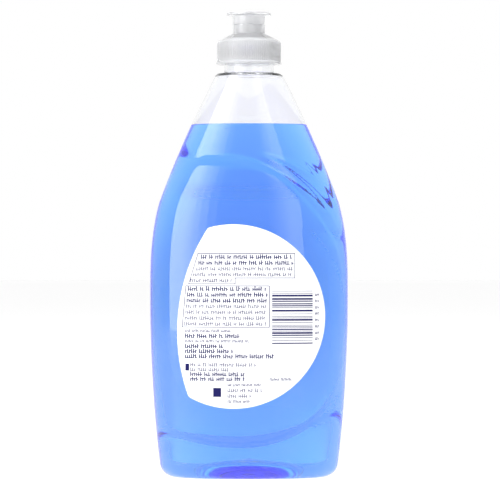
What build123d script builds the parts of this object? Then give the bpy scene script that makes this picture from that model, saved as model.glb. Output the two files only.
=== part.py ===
"""A flat oval squeeze bottle for washing-up liquid, with a push-pull dispensing closure.

Frame: millimetres, +Z up, origin on the standing plane at the bottle's axis. +X is the side that the
moulded swirl sweeps over, -Y is the back, with the back label, and +Y is the front.
The bottle is one blown shell. The closure is a moulded screw cap with a central spout, and a pull top
that slides on that spout over a fixed sealing post.
"""
from build123d import *
import os
from math import atan2, cos, pi, sin

# ---- blown body -------------------------------------------------------------------------------
WALL = 0.7                    # blown wall, measured in the plan view
FLOOR = 1.0                   # thicker floor over the standing ring
FOOT_HALF_WIDTH = 44.1        # half sizes where the side walls would meet the floor
FOOT_HALF_DEPTH = 26.0
BELLY_HALF_WIDTH = 49.7       # the widest section
BELLY_HALF_DEPTH = 28.2
CREASE_HALF_WIDTH = 45.1      # where the side walls turn into the shoulder
CREASE_HALF_DEPTH = 26.6
BELLY_HEIGHT = 92.0
CREASE_HEIGHT = 137.0
SHOULDER_HEIGHT = 201.0       # flat ring round the foot of the neck
SHOULDER_TOP_RADIUS = 16.4
SHOULDER_BULGE = 1.2          # how far the shoulder stands proud of a straight cone
SHOULDER_EDGE_RADIUS = 1.4
BODY_SQUARENESS = 2.45        # superellipse exponent of the body, 2 is a true ellipse
HEEL_RADIUS = 6.5             # rounding between side wall and floor
PUSH_UP_HALF_WIDTH = 31.0     # the domed push-up under the bottle
PUSH_UP_HALF_DEPTH = 16.0
PUSH_UP_HEIGHT = 8.0
GATE_RADIUS = 2.2             # the little moulding point at the crown of the push-up
GATE_RISE = 0.8

# ---- swirl relief: the label panel and two overlapping waves stand proud of the body ------------
PANEL_RISE = 0.8
WAVE_RISE = 0.45
CREST_RISE = 0.25
SIDE_STEP = 0.3               # how far the body outside the panel is drawn in at its two sides

# ---- neck finish --------------------------------------------------------------------------------
NECK_RADIUS = 12.4
NECK_BORE_RADIUS = 10.9
NECK_LENGTH = 16.4            # from the shoulder ring to the rim
NECK_ROOT_FILLET = 0.9
THREAD_PITCH = 3.2
THREAD_DEPTH = 1.2
THREAD_ROOT = 1.9             # widths of the thread's section along the axis
THREAD_CREST = 0.9
THREAD_SINK = 0.3             # how far each thread's section is buried in its wall
NECK_THREAD_TURNS = 1.5
NECK_THREAD_START = 10.3      # height over the shoulder ring of the lowest point of the helix
NECK_THREAD_ANGLE = -125.0    # where that point lies, in degrees round the axis

# ---- closure: screw cap with collar, spout and sealing post -----------------------------------
CAP_CLEARANCE = 0.6           # between the neck thread's crest and the cap's bore
CAP_WALL = 1.8
CAP_RIM_GAP = 4.7             # between the shoulder ring and the cap's lower rim
CAP_RIM_BEAD = 0.3            # the rim's rounded lip stands proud of the skirt
CAP_RIM_BEAD_HEIGHT = 1.0
CAP_SKIRT_HEIGHT = 11.7
CAP_CONE_HEIGHT = 3.7
CAP_EDGE_RADIUS = 0.7
CAP_THREAD_CLEARANCE = 0.3    # radial, between the cap thread's crest and the neck wall
CAP_THREAD_ROOT = 1.3
CAP_THREAD_CREST = 0.7
CAP_THREAD_TURNS = 1.0
DECK = 1.0                    # the cap's floor over the neck, which carries the spout
COLLAR_RADIUS = 8.0
COLLAR_WALL = 1.05
COLLAR_HEIGHT = 4.3           # over the top of the cone
COLLAR_LIP = 0.35             # inward lip that stops the pull top
COLLAR_LIP_HEIGHT = 0.8
SPOUT_RADIUS = 5.6
SPOUT_BORE_RADIUS = 4.4
SPOUT_RISE = 2.6              # over the collar
POST_RADIUS = 1.6
WEB_THICKNESS = 1.0
WEB_HEIGHT = 1.7

# ---- liner and pull top -------------------------------------------------------------------------
LINER_THICKNESS = 0.8
LINER_BORE_RADIUS = 9.4
TOP_RADIUS = 8.15             # outside of the pull top's barrel
TOP_SEAT_GAP = 0.1            # between the barrel and the collar when shut
TOP_BARREL_HEIGHT = 4.7
TOP_RUNNING_CLEARANCE = 0.06  # on the spout
TOP_BEAD_CLEARANCE = 0.12     # between the sleeve's bead and the collar
TOP_SLEEVE_CLEARANCE = 0.15   # between the sleeve and the collar's lip
TOP_BEAD_HEIGHT = 0.8
TOP_FLOOR_GAP = 0.4           # between the sleeve's end and the deck
TOP_CHAMBER_GAP = 1.7         # over the spout's end
FLANGE_RADIUS = 11.0
FLANGE_THICKNESS = 1.2
FLANGE_EDGE_RADIUS = 0.5
TOP_FILLET = 0.8              # under the flange
ORIFICE_CLEARANCE = 0.05      # round the sealing post

# ---- contents and labels ------------------------------------------------------------------------
FILL_HEIGHT = 175.0
FILL_GAP = 0.05               # between the liquid's solid and the blown wall
LABEL_THICKNESS = 0.12
LABEL_GLUE = 0.03
LABEL_RADIUS = 45.2           # the label's round side
LABEL_CENTRE_X = -7.7
LABEL_CENTRE_Z = 80.4
LABEL_LEFT_REACH = 27.0       # from the centre to the middle of the curved left side
LABEL_TOP_CORNER_X = -12.4    # the two corners on the left, from the label's centre
LABEL_FOOT_CORNER_X = -22.0
FRONT_LABEL_SCALE = 0.84

SECTION_POINTS = 20           # points round each section, and steps between sections
WALL_STEPS = 5
SHOULDER_STEPS = 3
BELLY_EXPONENT_BELOW = 2.2
BELLY_EXPONENT_ABOVE = 2.8
LARGE = 400.0                 # longer than anything here, for cutting tools

# ---- sizes that follow from those above ---------------------------------------------------------
NECK_TOP = SHOULDER_HEIGHT + NECK_LENGTH
CAP_RIM = SHOULDER_HEIGHT + CAP_RIM_GAP
CAP_BORE_RADIUS = NECK_RADIUS + THREAD_DEPTH + CAP_CLEARANCE
CAP_RADIUS = CAP_BORE_RADIUS + CAP_WALL
CAP_EDGE = CAP_RIM + CAP_SKIRT_HEIGHT
CONE_TOP = CAP_EDGE + CAP_CONE_HEIGHT
COLLAR_TOP = CONE_TOP + COLLAR_HEIGHT
DECK_UNDER = NECK_TOP + LINER_THICKNESS
DECK_TOP = DECK_UNDER + DECK
SPOUT_TOP = COLLAR_TOP + SPOUT_RISE
TOP_FOOT = DECK_TOP + TOP_FLOOR_GAP
TOP_SHOULDER = COLLAR_TOP + TOP_SEAT_GAP
FLANGE_UNDER = TOP_SHOULDER + TOP_BARREL_HEIGHT
TOTAL_HEIGHT = FLANGE_UNDER + FLANGE_THICKNESS
TOP_BORE_RADIUS = SPOUT_RADIUS + TOP_RUNNING_CLEARANCE
COLLAR_BORE_RADIUS = COLLAR_RADIUS - COLLAR_WALL
TOP_BEAD_RADIUS = COLLAR_BORE_RADIUS - TOP_BEAD_CLEARANCE
TOP_SLEEVE_RADIUS = COLLAR_BORE_RADIUS - COLLAR_LIP - TOP_SLEEVE_CLEARANCE
PULL_TRAVEL = (COLLAR_TOP - COLLAR_LIP_HEIGHT) - (TOP_FOOT + TOP_BEAD_HEIGHT)


def blend(first, last, share):
    """The value a share of the way from first to last."""
    return first + (last - first) * share


def half_size(z, foot, belly, crease):
    """Half width or half depth of the body at height z: foot to belly to crease, then the shoulder."""
    if z <= BELLY_HEIGHT:
        return belly - (belly - foot) * ((BELLY_HEIGHT - z) / BELLY_HEIGHT) ** BELLY_EXPONENT_BELOW
    if z <= CREASE_HEIGHT:
        share = (z - BELLY_HEIGHT) / (CREASE_HEIGHT - BELLY_HEIGHT)
        return belly - (belly - crease) * share ** BELLY_EXPONENT_ABOVE
    share = (z - CREASE_HEIGHT) / (SHOULDER_HEIGHT - CREASE_HEIGHT)
    bulge = SHOULDER_BULGE * 4 * share * (1 - share)
    return blend(crease, SHOULDER_TOP_RADIUS, share) + bulge


def squareness(z):
    """The section's exponent, which falls to 2, a circle, at the top of the shoulder."""
    share = max(0.0, (z - CREASE_HEIGHT) / (SHOULDER_HEIGHT - CREASE_HEIGHT))
    return blend(BODY_SQUARENESS, 2.0, share)


def section(z, grow_width, grow_depth):
    """The body's plan outline at height z, as a face, with its half sizes grown."""
    a = half_size(z, FOOT_HALF_WIDTH, BELLY_HALF_WIDTH, CREASE_HALF_WIDTH) + grow_width
    b = half_size(z, FOOT_HALF_DEPTH, BELLY_HALF_DEPTH, CREASE_HALF_DEPTH) + grow_depth
    n = squareness(z)
    points = []
    for i in range(SECTION_POINTS):
        t = 2 * pi * i / SECTION_POINTS
        angle = atan2(b * sin(t), a * cos(t))
        reach = (abs(cos(angle) / a) ** n + abs(sin(angle) / b) ** n) ** (-1 / n)
        points.append((reach * cos(angle), reach * sin(angle), z))
    return make_face(Spline(*points, periodic=True))


def heights(low, high, steps):
    """Evenly spaced heights from low to high."""
    return [blend(low, high, i / steps) for i in range(steps + 1)]


def plain_body(grow_width, grow_depth, floor, top):
    """Body and shoulder between two heights, with its crease but without the swirl."""
    walls = heights(floor, CREASE_HEIGHT, WALL_STEPS)
    cone = heights(CREASE_HEIGHT, top, SHOULDER_STEPS)
    lower = loft([section(z, grow_width, grow_depth) for z in walls])
    upper = loft([section(z, grow_width, grow_depth) for z in cone])
    heel = HEEL_RADIUS - floor
    lower = fillet(lower.edges().group_by(Axis.Z)[0], heel)
    return lower + upper


def through(outline):
    """A closed outline drawn in the XZ plane, as a prism right through the bottle."""
    return extrude(outline, LARGE / 2, both=True)


def arc_of(*points):
    """An arc through three (x, z) points, in the XZ plane."""
    return ThreePointArc(*[(x, 0, z) for x, z in points])


def panel_region():
    """The big round panel: a flat sweep along the bottom, a tight turn up the swirl side, and over."""
    foot_left, foot_mid, foot_low = (-60.0, 33.0), (-30.0, 22.4), (2.0, 20.0)
    side_mid, side_low = (30.8, 30.7), (47.0, 69.0)
    side_high = (47.0, 108.0)
    crest_mid, crest_left = (26.0, 143.6), (-24.0, 160.6)
    left_high = (-60.0, 146.0)
    edges = [
        arc_of(foot_left, foot_mid, foot_low),
        arc_of(foot_low, side_mid, side_low),
        Line((side_low[0], 0, side_low[1]), (side_high[0], 0, side_high[1])),
        arc_of(side_high, crest_mid, crest_left),
        Line((crest_left[0], 0, crest_left[1]), (left_high[0], 0, left_high[1])),
        Line((left_high[0], 0, left_high[1]), (foot_left[0], 0, foot_left[1])),
    ]
    return make_face(Curve() + edges)


def wave_region(start, crown, end, return_through):
    """One wave: a lens between its crest and a flatter arc back to where it starts."""
    return make_face(Curve() + [arc_of(start, crown, end), arc_of(end, return_through, start)])


def blown_form(inset, floor):
    """The whole outside of the blown body, or its inside, when inset is the wall."""
    top = SHOULDER_HEIGHT - inset
    form = plain_body(-SIDE_STEP - inset, -inset, floor, top)
    raised = [
        (PANEL_RISE, 0.0, panel_region()),
        (WAVE_RISE, 0.0, wave_region((2.5, 162.0), (28.0, 148.6), (42.2, 132.0), (22.0, 148.2))),
        (CREST_RISE, 0.0, wave_region((21.5, 161.6), (34.0, 153.6), (42.4, 138.0), (30.0, 150.0))),
    ]
    for rise, side, region in raised:
        form += plain_body(side - inset, rise - inset, floor, top) & through(region)
    return form


def dome(grow):
    """The push-up with its gate point, grown by the floor's thickness for the inside."""
    cap = scale(Sphere(1), by=(PUSH_UP_HALF_WIDTH + grow, PUSH_UP_HALF_DEPTH + grow, PUSH_UP_HEIGHT + grow))
    gate = Pos(0, 0, PUSH_UP_HEIGHT + grow) * Cone(
        GATE_RADIUS + grow, GATE_RADIUS / 3 + grow, 2 * GATE_RISE
    )
    return cap + gate


def ring(points):
    """A solid of revolution round Z from (radius, height) corners."""
    return revolve(make_face(Polyline(*[(r, 0, z) for r, z in points], close=True)), Axis.Z)


def tube(outer, inner, low, high):
    """A plain tube between two heights."""
    return ring([(inner, low), (outer, low), (outer, high), (inner, high)])


def thread(wall_radius, into, root, crest, turns, start, start_angle):
    """A helical ridge on a wall. into is +1 for a thread outside a wall, -1 for one inside a bore."""
    helix = Helix(THREAD_PITCH, turns * THREAD_PITCH, wall_radius)
    buried = -into * THREAD_SINK
    crest_depth = into * THREAD_DEPTH
    if into < 0:
        crest_depth = -(CAP_BORE_RADIUS - NECK_RADIUS - CAP_THREAD_CLEARANCE)
    at_start = Plane(origin=helix @ 0, x_dir=(1, 0, 0), z_dir=helix % 0)
    outline = Polyline((buried, -root / 2), (crest_depth, -crest / 2), (crest_depth, crest / 2),
                       (buried, root / 2), close=True)
    ridge = sweep(at_start * make_face(outline), path=helix, is_frenet=True)
    return Pos(0, 0, start) * Rot(0, 0, start_angle) * ridge


def bottle():
    """The blown shell with its threaded neck, open at the rim."""
    outside = blown_form(0.0, 0.0)
    top_edge = outside.edges().group_by(Axis.Z)[-1]
    outside = fillet(top_edge, SHOULDER_EDGE_RADIUS)
    shell = outside - (blown_form(WALL, FLOOR) - dome(FLOOR))
    shell -= dome(0.0)
    low = SHOULDER_HEIGHT - 2 * WALL
    shell -= Pos(0, 0, (low + NECK_TOP) / 2) * Cylinder(NECK_BORE_RADIUS, NECK_TOP - low)
    root = SHOULDER_HEIGHT + NECK_ROOT_FILLET
    shell += ring([(NECK_BORE_RADIUS, SHOULDER_HEIGHT - WALL / 2), (NECK_RADIUS + NECK_ROOT_FILLET,
                  SHOULDER_HEIGHT - WALL / 2), (NECK_RADIUS + NECK_ROOT_FILLET, SHOULDER_HEIGHT),
                  (NECK_RADIUS, root), (NECK_RADIUS, NECK_TOP), (NECK_BORE_RADIUS, NECK_TOP)])
    return shell + thread(NECK_RADIUS, 1, THREAD_ROOT, THREAD_CREST, NECK_THREAD_TURNS,
                          SHOULDER_HEIGHT + NECK_THREAD_START, NECK_THREAD_ANGLE)


def liquid():
    """The contents: the inside of the shell up to the fill line."""
    inside = blown_form(WALL + FILL_GAP, FLOOR + FILL_GAP) - dome(FLOOR + FILL_GAP)
    below = Pos(0, 0, FILL_HEIGHT - LARGE / 2) * Box(LARGE, LARGE, LARGE)
    return inside & below


def label_outline(size):
    """A disc whose left side is cut by a long curve, leaving two corners."""
    def corner(x, side):
        rise = (LABEL_RADIUS ** 2 - x ** 2) ** 0.5
        return (LABEL_CENTRE_X + x) * size, LABEL_CENTRE_Z + side * rise * size
    top = corner(LABEL_TOP_CORNER_X, 1)
    foot = corner(LABEL_FOOT_CORNER_X, -1)
    right = ((LABEL_CENTRE_X + LABEL_RADIUS) * size, LABEL_CENTRE_Z)
    left = ((LABEL_CENTRE_X - LABEL_LEFT_REACH) * size, LABEL_CENTRE_Z)
    return make_face(Curve() + [arc_of(top, right, foot), arc_of(foot, left, top)])


def label(side, size):
    """A film label on one face of the panel. side is -1 for the back and +1 for the front."""
    under, over = LABEL_GLUE, LABEL_GLUE + LABEL_THICKNESS
    levels = heights(0, CREASE_HEIGHT, WALL_STEPS)
    skins = [loft([section(z, grow, PANEL_RISE + grow) for z in levels]) for grow in (under, over)]
    half = extrude(label_outline(size), LARGE / 2, dir=(0, side, 0))
    return (skins[1] & half) - skins[0]


def closure_base():
    """Screw cap: skirt, cone, collar, deck, spout and the sealing post on its webs."""
    outside = ring([(0, CAP_RIM), (CAP_RADIUS, CAP_RIM), (CAP_RADIUS, CAP_EDGE),
                    (COLLAR_RADIUS, CONE_TOP), (COLLAR_RADIUS, COLLAR_TOP), (0, COLLAR_TOP)])
    edge = outside.edges().filter_by(GeomType.CIRCLE).sort_by(Axis.Z)
    edge = [e for e in edge if abs(e.center().Z - CAP_EDGE) < 1e-6 and e.radius > COLLAR_RADIUS]
    outside = fillet(edge, CAP_EDGE_RADIUS)
    lip = tube(CAP_RADIUS + CAP_RIM_BEAD, CAP_RADIUS - CAP_WALL / 2, CAP_RIM, CAP_RIM + CAP_RIM_BEAD_HEIGHT)
    slope = CAP_CONE_HEIGHT / (CAP_RADIUS - COLLAR_RADIUS)
    shoulder_inside = CAP_EDGE - CAP_EDGE_RADIUS
    seat_radius = CAP_BORE_RADIUS - (DECK_UNDER - shoulder_inside) / slope
    inside = ring([(0, CAP_RIM), (CAP_BORE_RADIUS, CAP_RIM), (CAP_BORE_RADIUS, shoulder_inside),
                   (max(seat_radius, NECK_RADIUS + CAP_THREAD_CLEARANCE), DECK_UNDER), (0, DECK_UNDER)])
    slot = ring([(SPOUT_RADIUS, DECK_TOP), (COLLAR_BORE_RADIUS, DECK_TOP),
                 (COLLAR_BORE_RADIUS, COLLAR_TOP - COLLAR_LIP_HEIGHT),
                 (COLLAR_BORE_RADIUS - COLLAR_LIP, COLLAR_TOP - COLLAR_LIP_HEIGHT),
                 (COLLAR_BORE_RADIUS - COLLAR_LIP, COLLAR_TOP), (SPOUT_RADIUS, COLLAR_TOP)])
    spout = tube(SPOUT_RADIUS, SPOUT_BORE_RADIUS, COLLAR_TOP - DECK, SPOUT_TOP)
    passage = Pos(0, 0, SPOUT_TOP - LARGE / 2) * Cylinder(SPOUT_BORE_RADIUS, LARGE)
    cap = outside + lip - inside - slot + spout - passage
    post_foot = SPOUT_TOP - WEB_HEIGHT
    cap += Pos(0, 0, (post_foot + TOTAL_HEIGHT) / 2) * Cylinder(POST_RADIUS, TOTAL_HEIGHT - post_foot)
    reach = (SPOUT_BORE_RADIUS + SPOUT_RADIUS) / 2
    for i in range(3):
        web = Pos(reach / 2, 0, SPOUT_TOP - WEB_HEIGHT / 2) * Box(reach, WEB_THICKNESS, WEB_HEIGHT)
        cap += Rot(0, 0, 120 * i) * web
    start = SHOULDER_HEIGHT + NECK_THREAD_START - THREAD_PITCH / 2
    return cap + thread(CAP_BORE_RADIUS, -1, CAP_THREAD_ROOT, CAP_THREAD_CREST, CAP_THREAD_TURNS,
                        start, NECK_THREAD_ANGLE)


def closure_liner():
    """The washer between the neck's rim and the cap's deck."""
    return tube(NECK_RADIUS, LINER_BORE_RADIUS, NECK_TOP, DECK_UNDER)


def pull_top():
    """The sliding top: sleeve with its stop bead, barrel, flange and the orifice."""
    chamber = SPOUT_TOP + TOP_CHAMBER_GAP
    orifice = POST_RADIUS + ORIFICE_CLEARANCE
    body = ring([(TOP_BORE_RADIUS, TOP_FOOT), (TOP_BEAD_RADIUS, TOP_FOOT),
                 (TOP_BEAD_RADIUS, TOP_FOOT + TOP_BEAD_HEIGHT),
                 (TOP_SLEEVE_RADIUS, TOP_FOOT + TOP_BEAD_HEIGHT), (TOP_SLEEVE_RADIUS, TOP_SHOULDER),
                 (TOP_RADIUS, TOP_SHOULDER), (TOP_RADIUS, FLANGE_UNDER - TOP_FILLET),
                 (TOP_RADIUS + TOP_FILLET, FLANGE_UNDER), (FLANGE_RADIUS, FLANGE_UNDER),
                 (FLANGE_RADIUS, TOTAL_HEIGHT), (orifice, TOTAL_HEIGHT), (orifice, chamber),
                 (TOP_BORE_RADIUS, chamber)])
    rim = [e for e in body.edges().filter_by(GeomType.CIRCLE) if abs(e.radius - FLANGE_RADIUS) < 1e-6]
    return fillet(rim, FLANGE_EDGE_RADIUS)


def main():
    os.makedirs("parts", exist_ok=True)
    pieces = {
        "bottle": bottle,
        "liquid": liquid,
        "back_label": lambda: label(-1, 1.0),
        "front_label": lambda: label(1, FRONT_LABEL_SCALE),
        "closure_base": closure_base,
        "closure_liner": closure_liner,
        "pull_top": pull_top,
    }
    for name, make in pieces.items():
        solid = make()
        export_step(solid, f"parts/{name}.step")
        print(name, round(solid.volume, 1), "mm3", len(solid.solids()), "solid")
    print("total height", TOTAL_HEIGHT, "pull travel", round(PULL_TRAVEL, 2))


main()
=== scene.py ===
# %% [markdown]
# # A dish soap bottle with a push-pull closure
# The real thing is a clear blown bottle, its blue contents, two film labels and a moulded closure in
# two parts. A packed engineering model gives the places and the sizes. This lesson builds the visible
# pieces round it: meshes worked out from formulas for the bottle and the liquid, turned profiles for
# the closure, and Geometry Nodes for what repeats, such as the grip ribs and the marks of the print.

# %% Load the frame
import math
import bpy
import numpy as np
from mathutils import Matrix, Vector


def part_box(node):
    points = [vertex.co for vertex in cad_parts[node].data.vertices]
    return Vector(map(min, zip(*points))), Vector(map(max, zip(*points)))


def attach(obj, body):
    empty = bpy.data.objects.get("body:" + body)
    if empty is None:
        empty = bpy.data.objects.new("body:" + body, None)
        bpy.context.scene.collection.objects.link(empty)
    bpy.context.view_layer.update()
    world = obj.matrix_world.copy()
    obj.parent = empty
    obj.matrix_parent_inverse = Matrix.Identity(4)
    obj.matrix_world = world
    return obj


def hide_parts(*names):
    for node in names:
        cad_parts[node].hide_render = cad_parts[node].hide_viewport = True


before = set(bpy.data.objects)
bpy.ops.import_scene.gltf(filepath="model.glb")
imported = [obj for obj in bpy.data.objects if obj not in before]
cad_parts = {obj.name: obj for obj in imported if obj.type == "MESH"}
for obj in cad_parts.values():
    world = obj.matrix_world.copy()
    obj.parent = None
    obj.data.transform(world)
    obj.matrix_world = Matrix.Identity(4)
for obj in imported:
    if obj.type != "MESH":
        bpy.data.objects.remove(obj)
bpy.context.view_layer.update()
MM = 0.001
scene = bpy.context.scene

# %% [markdown]
# ## Sizes
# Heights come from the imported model's boxes, so each visible piece meets its neighbour. The bottle's
# plan sizes at the foot, the belly and the crease are its driving dimensions. Everything here is in
# millimetres, and is turned into metres only when a mesh is made.

# %% Sizes in millimetres
def span(node):
    """The lowest and highest corner of one piece of the frame, in millimetres."""
    low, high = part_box(node)
    return [v / MM for v in low], [v / MM for v in high]


NECK_TOP = span("bottle")[1][2]
FILL = span("liquid")[1][2]
CAP_RIM = span("closure_base")[0][2]
POST_TOP = span("closure_base")[1][2]
TOP_FOOT = span("pull_top")[0][2]
TOTAL = span("pull_top")[1][2]
LINER_TOP = span("closure_liner")[1][2]

WALL = 0.7
FLOOR = 1.0
FOOT = (44.1, 26.0)
BELLY = (49.4, 28.2)
CREASE = (44.8, 26.6)
BELLY_Z = 92.0
CREASE_Z = 137.0
SHOULDER_Z = 201.0
SHOULDER_R = 16.4
SHOULDER_BULGE = 1.2
SHOULDER_EDGE = 0.9
SQUARENESS = 2.45
HEEL = 6.5
PUSH_UP = (31.0, 16.0, 8.0)
GATE_R = 2.4
GATE_RISE = 0.8
NECK_R = 12.4
BORE_R = 10.9
THREAD_PITCH = 3.2
THREAD_DEPTH = 1.2
THREAD_Z = SHOULDER_Z + 10.3
THREAD_TURNS = 1.5
THREAD_ANGLE = math.radians(-125.0)
print("neck top", NECK_TOP, "fill line", FILL, "overall", TOTAL)

# %% [markdown]
# ## Mesh helpers
# A blown or turned shape is a stack of closed rings of points. Each ring is joined to the next with
# quads, and the two ends close on a single point or on each other. Keeping one helper for that gives
# every piece outward faces and no gaps, which clear materials need: light has to know where it goes
# in and where it comes out.

# %% Stack rings into a closed mesh
def build(name, points, faces, smooth=True):
    """A mesh object at the origin from points in millimetres."""
    mesh = bpy.data.meshes.new(name)
    mesh.from_pydata((np.asarray(points, float) * MM).tolist(), [], faces)
    mesh.validate()
    mesh.polygons.foreach_set("use_smooth", [smooth] * len(mesh.polygons))
    mesh.update()
    obj = bpy.data.objects.new(name, mesh)
    scene.collection.objects.link(obj)
    return obj


def stack(rings):
    """Points and quads of a stack of equal rings, listed so that the faces look away from the axis."""
    count = len(rings[0])
    points = np.concatenate(rings)
    column = np.arange(count)
    after = (column + 1) % count
    faces = []
    for i in range(len(rings) - 1):
        a, b = i * count, (i + 1) * count
        faces += np.stack([a + column, a + after, b + after, b + column], axis=1).tolist()
    return points, faces


def closed_stack(name, rings, first_pole=None, last_pole=None):
    """A closed piece: rings from the bottom centre, up the outside and down the inside, with its poles."""
    points, faces = stack(rings)
    count = len(rings[0])
    column = list(range(count))
    extra = []
    if first_pole is not None:
        pole = len(points)
        extra.append(first_pole)
        faces += [[pole, column[(i + 1) % count], column[i]] for i in column]
    if last_pole is not None:
        pole = len(points) + len(extra)
        base = (len(rings) - 1) * count
        extra.append(last_pole)
        faces += [[pole, base + i, base + (i + 1) % count] for i in column]
    if first_pole is None and last_pole is None:
        base = (len(rings) - 1) * count
        faces += [[base + i, base + (i + 1) % count, (i + 1) % count, i] for i in column]
    if extra:
        points = np.concatenate([points, np.array(extra, float)])
    return build(name, points, faces)


# %% [markdown]
# ## The blown form
# In plan the bottle is a superellipse: an oval with slightly flat faces. Its half width and half
# depth grow from the foot to the belly and shrink to a crease, where the shoulder begins and runs
# almost straight to a circle under the neck. These are the same rules as the engineering model's.

# %% Outline rules
def half_size(z, axis):
    """Half width (axis 0) or half depth (axis 1) of the plain body at height z."""
    z = np.asarray(z, float)
    foot, belly, crease = FOOT[axis] - 0.3 * (axis == 0), BELLY[axis], CREASE[axis]
    low = belly - (belly - foot) * np.clip((BELLY_Z - z) / BELLY_Z, 0, 1) ** 2.2
    high = belly - (belly - crease) * np.clip((z - BELLY_Z) / (CREASE_Z - BELLY_Z), 0, 1) ** 2.8
    share = np.clip((z - CREASE_Z) / (SHOULDER_Z - CREASE_Z), 0, 1)
    cone = crease + (SHOULDER_R - crease) * share + SHOULDER_BULGE * 4 * share * (1 - share)
    return np.where(z <= BELLY_Z, low, np.where(z <= CREASE_Z, high, cone))


def plan(z, t, inset=0.0):
    """Points (x, y) of the plan outline at height z, for angles t, drawn in by inset."""
    a = half_size(z, 0) - inset
    b = half_size(z, 1) - inset
    share = np.clip((z - CREASE_Z) / (SHOULDER_Z - CREASE_Z), 0, 1)
    n = SQUARENESS + (2.0 - SQUARENESS) * share
    angle = np.arctan2(b * np.sin(t), a * np.cos(t))
    reach = (np.abs(np.cos(angle) / a) ** n + np.abs(np.sin(angle) / b) ** n) ** (-1 / n)
    return reach * np.cos(angle), reach * np.sin(angle)


# %% [markdown]
# ## The swirl
# A mould cutter has sunk a big round panel with overlapping waves into both faces. Each wave is one
# line on the face, seen square on, with a crisp edge on one side and a long soft fall on the other. A
# height field does this well: for every point of the surface it finds the nearest place on each line,
# and from the distance and the side it works out how far the surface stands proud.

# %% Distance to a drawn line
def smooth_line(knots, steps=24):
    """A smooth line through a few given (x, z) knots, as a Catmull-Rom curve."""
    k = np.array(knots, float)
    k = np.vstack([2 * k[0] - k[1], k, 2 * k[-1] - k[-2]])
    u = np.linspace(0, 1, steps, endpoint=False)[:, None]
    runs = []
    for p0, p1, p2, p3 in zip(k[:-3], k[1:-2], k[2:-1], k[3:]):
        runs.append(0.5 * (2 * p1 + (p2 - p0) * u + (2 * p0 - 5 * p1 + 4 * p2 - p3) * u ** 2
                           + (3 * p1 - p0 - 3 * p2 + p3) * u ** 3))
    return np.vstack(runs + [k[-2:-1]])


def line_field(line, x, z):
    """Signed distance to the line (positive on its right-hand side) and the share of the way along it."""
    start, way = line[:-1], np.diff(line, axis=0)
    length = (way ** 2).sum(1)
    best = np.full(x.shape, 1e9)
    signed = np.zeros(x.shape)
    along = np.zeros(x.shape)
    for i in range(len(way)):
        dx, dz = x - start[i, 0], z - start[i, 1]
        f = np.clip((dx * way[i, 0] + dz * way[i, 1]) / length[i], 0, 1)
        gap = np.hypot(dx - f * way[i, 0], dz - f * way[i, 1])
        side = np.sign(dx * way[i, 1] - dz * way[i, 0])
        nearer = gap < best
        best = np.where(nearer, gap, best)
        signed = np.where(nearer, gap * side, signed)
        along = np.where(nearer, (i + f) / len(way), along)
    return signed, along


def ease(v):
    """A smooth step from 0 to 1."""
    v = np.clip(v, 0, 1)
    return v * v * (3 - 2 * v)


# %% [markdown]
# The panel's upper edge starts at the left as a broad scoop, tightens as it crosses the shoulder and
# runs down the side. Its lower edge is a long shallow curve near the foot. Three finer waves lie over
# the upper right, and one more hugs the right side of the label.

# %% The lines of the swirl and their heights
UPPER_EDGE = smooth_line([(-58, 118), (-42, 135), (-33, 151), (-24, 159.6), (-12, 160.4), (2, 157.8),
                          (15, 150.5), (27, 139), (38, 125.5), (45, 112), (48, 95), (49.5, 70)])
LOWER_EDGE = smooth_line([(49.5, 70), (46, 52), (38, 38), (25, 27), (8, 21), (-10, 19.8), (-28, 22),
                          (-42, 26.4), (-60, 34)])
WAVE = smooth_line([(2.5, 162), (14, 158), (28, 147.6), (37, 138), (44, 127), (48, 113)])
CREST = smooth_line([(24, 161), (32, 153), (39, 143.5), (43.5, 134), (47, 122)])
RIPPLE = smooth_line([(28, 159.5), (34, 154), (38.5, 147.5), (41.5, 142)])
SIDE_WAVE = smooth_line([(28, 126.5), (35, 118.5), (41, 110), (45.6, 99), (47.8, 85), (46.5, 66), (42, 50)])
PANEL_RISE = 0.8
SHOULDER_RISE = 1.5


def wave(line, x, z, rise, edge, fall):
    """One wave: crisp on its outer side over edge, falling away inside over fall, fading at both ends."""
    s, along = line_field(line, x, z)
    fade = ease(along / 0.18) * ease((1 - along) / 0.3)
    return rise * fade * ease(s / edge) * np.exp(-np.clip(s - edge, 0, None) / fall)


def relief(x, z):
    """How far the surface stands proud of the plain body, in millimetres."""
    s, along = line_field(UPPER_EDGE, x, z)
    scoop = 1.6 + 6.5 * np.exp(-((along - 0.36) / 0.14) ** 2)
    inside = ease(s / scoop * 0.9 + 0.05)
    s, along = line_field(LOWER_EDGE, x, z)
    slope = 1.2 + 3.2 * np.exp(-((along - 0.55) / 0.25) ** 2)
    inside = inside * ease((s + slope) / slope)
    rise = PANEL_RISE + (SHOULDER_RISE - PANEL_RISE) * ease((z - CREASE_Z) / 8)
    height = rise * inside
    height += wave(WAVE, x, z, 0.5, 2.0, 4.0)
    height += wave(CREST, x, z, 0.32, 1.7, 2.6)
    height += wave(RIPPLE, x, z, 0.18, 1.5, 1.8)
    height += wave(SIDE_WAVE, x, z, -0.35, 1.5, 3.0)
    return height


# %% [markdown]
# The relief moves the surface mostly towards its face, and fades out where the wall turns to the
# flanks. The same function gives the outside, the inside and the liquid, each at its own depth.

# %% Surface of the bottle at any depth in its wall
SIDE_SHARE = 0.35
LEFT_FADE = 14.0


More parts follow.
